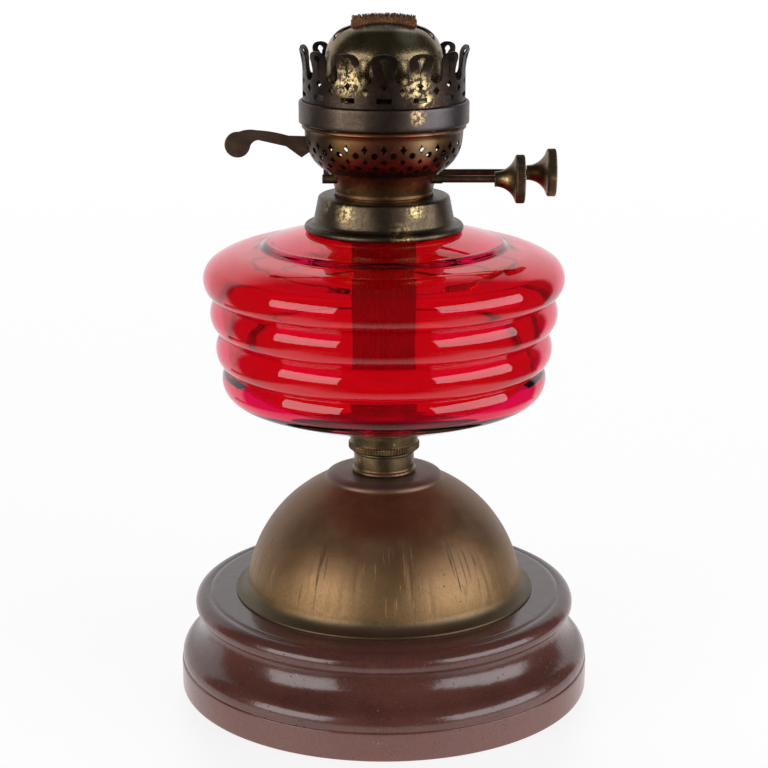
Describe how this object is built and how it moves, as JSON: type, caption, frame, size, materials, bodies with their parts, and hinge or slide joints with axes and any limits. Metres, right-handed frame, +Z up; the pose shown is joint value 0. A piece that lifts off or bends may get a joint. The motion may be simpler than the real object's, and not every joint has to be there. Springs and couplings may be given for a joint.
{
  "type": "oil lamp",
  "caption": "Table oil lamp with a stoneware foot, brass dome, ribbed red glass font and a flat-wick burner with winders, snuffer lever and chimney gallery.",
  "frame": {"origin": "on the lamp's vertical axis, at the level of the table that the foot ring stands on", "axes": "+Z up the lamp's axis to the wicks; +X along the winder shafts towards their knobs, so the snuffer lever is at -X; -Y is the front, on the side of the front wick"},
  "size_m": [0.186, 0.186, 0.305],
  "materials": {
    "foot_glaze": "glossy chocolate-brown salt glaze",
    "dome_brass": "lacquered antique bronze, satin",
    "neck_brass": "aged brass with bright knurling",
    "collar_brass": "dark tarnished brass",
    "burner_brass": "tarnished brass with worn patches",
    "gallery_brass": "dark tarnished brass",
    "cone_brass": "heat-stained brass",
    "winder_brass": "aged brass",
    "lever_brass": "dark brown brass",
    "clamp_iron": "rough iron",
    "plaster": "matt lamp plaster",
    "ruby_glass": "transparent ruby glass, polished",
    "wick_cotton": "woven flat cotton wick, oil stained"
  },
  "bodies": {
    "base": {"stoneware_foot": "foot_glaze", "dome_cover": "dome_brass", "neck_socket": "neck_brass", "clamp_rod": "clamp_iron", "clamp_plate": "clamp_iron", "clamp_washer": "clamp_iron", "clamp_nut": "clamp_iron"},
    "font_body": {"font_peg": "neck_brass", "peg_plaster": "plaster", "font": "ruby_glass", "font_collar": "collar_brass", "bayonet_ring": "collar_brass", "collar_plaster": "plaster"},
    "burner": {"burner_cup": "burner_brass", "bayonet_studs": "burner_brass", "wick_tube_front": "burner_brass", "wick_tube_back": "burner_brass", "basket": "burner_brass", "shaft_bushes": "burner_brass", "lever_bracket": "burner_brass", "lever_pivot": "burner_brass"},
    "gallery": {"gallery_band": "gallery_brass", "gallery_crown": "gallery_brass", "gallery_plate": "gallery_brass", "cone": "cone_brass"},
    "winder_front": {"winder_shaft_front": "winder_brass", "sprockets_front": "winder_brass", "winder_knob_front": "winder_brass"},
    "winder_back": {"winder_shaft_back": "winder_brass", "sprockets_back": "winder_brass", "winder_knob_back": "winder_brass"},
    "front_wick": {"wick_front": "wick_cotton"},
    "back_wick": {"wick_back": "wick_cotton"},
    "lever": {"extinguisher_lever": "lever_brass"},
    "snuffer": {"snuffer_sleeve_front": "burner_brass", "snuffer_sleeve_back": "burner_brass", "snuffer_bridge": "burner_brass"}
  },
  "joints": [
    {"name": "font_turn", "type": "hinge", "parent": "base", "child": "font_body", "pos_m": [0, 0, 0.107], "axis": [0, 0, 1], "range_deg": [0, 1260]},
    {"name": "burner_turn", "type": "hinge", "parent": "font_body", "child": "burner", "pos_m": [0, 0, 0.2195], "axis": [0, 0, 1], "range_deg": [0, 30]},
    {"name": "gallery_lift", "type": "slide", "parent": "burner", "child": "gallery", "axis": [0, 0, 1], "range_m": [0, 0.05]},
    {"name": "winder_front_turn", "type": "hinge", "parent": "burner", "child": "winder_front", "pos_m": [0, -0.009, 0.234], "axis": [1, 0, 0], "range_deg": [-300, 90]},
    {"name": "winder_back_turn", "type": "hinge", "parent": "burner", "child": "winder_back", "pos_m": [0, 0.009, 0.234], "axis": [1, 0, 0], "range_deg": [-300, 200]},
    {"name": "front_wick_slide", "type": "slide", "parent": "burner", "child": "front_wick", "axis": [0, 0, 1], "range_m": [-0.0121, 0.0037]},
    {"name": "back_wick_slide", "type": "slide", "parent": "burner", "child": "back_wick", "axis": [0, 0, 1], "range_m": [-0.0081, 0.0121]},
    {"name": "lever_press", "type": "hinge", "parent": "burner", "child": "lever", "pos_m": [-0.0285, 0, 0.2475], "axis": [0, -1, 0], "range_deg": [0, 15]},
    {"name": "snuffer_lift", "type": "slide", "parent": "burner", "child": "snuffer", "axis": [0, 0, 1], "range_m": [0, 0.0058]}
  ],
  "couplings": [
    {"joint": "front_wick_slide", "follows": "winder_front_turn", "m_per_rad": 0.0023},
    {"joint": "back_wick_slide", "follows": "winder_back_turn", "m_per_rad": -0.0023},
    {"joint": "snuffer_lift", "follows": "lever_press", "m_per_rad": 0.0215}
  ]
}
